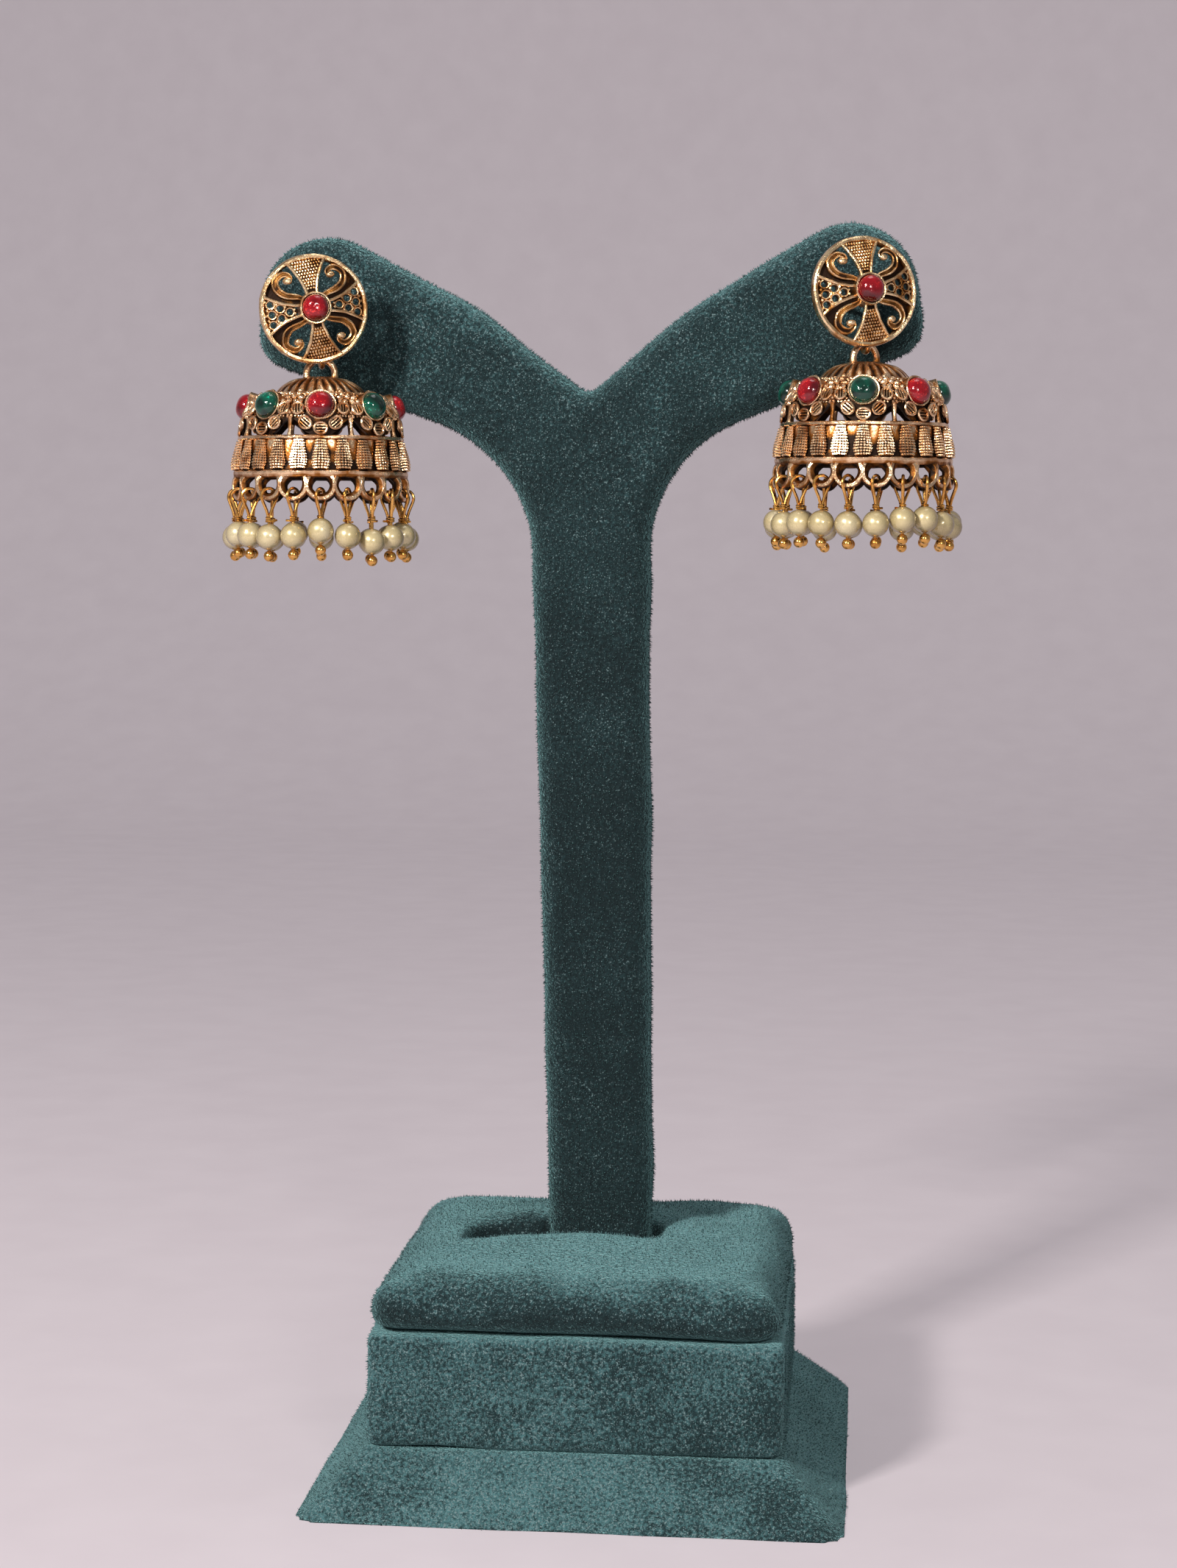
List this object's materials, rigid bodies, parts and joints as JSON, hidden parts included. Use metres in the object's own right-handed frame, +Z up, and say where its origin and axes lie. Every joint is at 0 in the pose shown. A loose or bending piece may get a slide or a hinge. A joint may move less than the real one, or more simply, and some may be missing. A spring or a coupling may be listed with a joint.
{
  "type": "pair of jhumka earrings on an earring stand",
  "caption": "Jhumka earrings with pierced studs, domed bells, coloured stones and a fringe of pearls, hung on a velvet Y-shaped earring stand.",
  "frame": {"origin": "middle of the stand's underside", "axes": "+Z up, X along the stand's two arms with +X at the right-hand earring, front towards -Y"},
  "size_m": [0.1094, 0.08, 0.1889],
  "materials": {
    "velvet": "dark teal velvet pile with a fine sparkle",
    "bright_gold": "cast, yellow gold plate over dark recesses",
    "antique_gold": "cast, oxidised copper-gold plate with dark recesses",
    "pin_gold": "polished drawn wire",
    "red_stone": "foil-backed clear red cabochon",
    "green_stone": "foil-backed clear green cabochon",
    "pearl": "cream pearl lacquer, satin gloss"
  },
  "bodies": {
    "stand": {"stand_foot": "velvet", "stand_box": "velvet", "stand_pad": "velvet", "stand_arms": "velvet", "left_stud": "bright_gold", "left_stud_stone": "red_stone", "right_stud": "bright_gold", "right_stud_stone": "red_stone"},
    "left_bell": {"left_bell": "antique_gold", "left_bell_stone_1": "red_stone", "left_bell_stone_2": "green_stone", "left_bell_stone_3": "red_stone", "left_bell_stone_4": "green_stone", "left_bell_stone_5": "red_stone", "left_bell_stone_6": "green_stone", "left_bell_stone_7": "red_stone", "left_bell_stone_8": "green_stone", "left_pearls": "pearl", "left_drop_pins": "pin_gold"},
    "right_bell": {"right_bell": "antique_gold", "right_bell_stone_1": "red_stone", "right_bell_stone_2": "green_stone", "right_bell_stone_3": "red_stone", "right_bell_stone_4": "green_stone", "right_bell_stone_5": "red_stone", "right_bell_stone_6": "green_stone", "right_bell_stone_7": "red_stone", "right_bell_stone_8": "green_stone", "right_pearls": "pearl", "right_drop_pins": "pin_gold"}
  },
  "joints": [
    {"name": "left_bell_swing", "type": "hinge", "parent": "stand", "child": "left_bell", "pos_m": [-0.0402, -0.0138, 0.1679], "axis": [-0.9848, -0.1736, 0], "range_deg": [-3, 35]},
    {"name": "right_bell_swing", "type": "hinge", "parent": "stand", "child": "right_bell", "pos_m": [0.0402, -0.0138, 0.1701], "axis": [-0.809, -0.5878, 0], "range_deg": [-5, 35]}
  ]
}
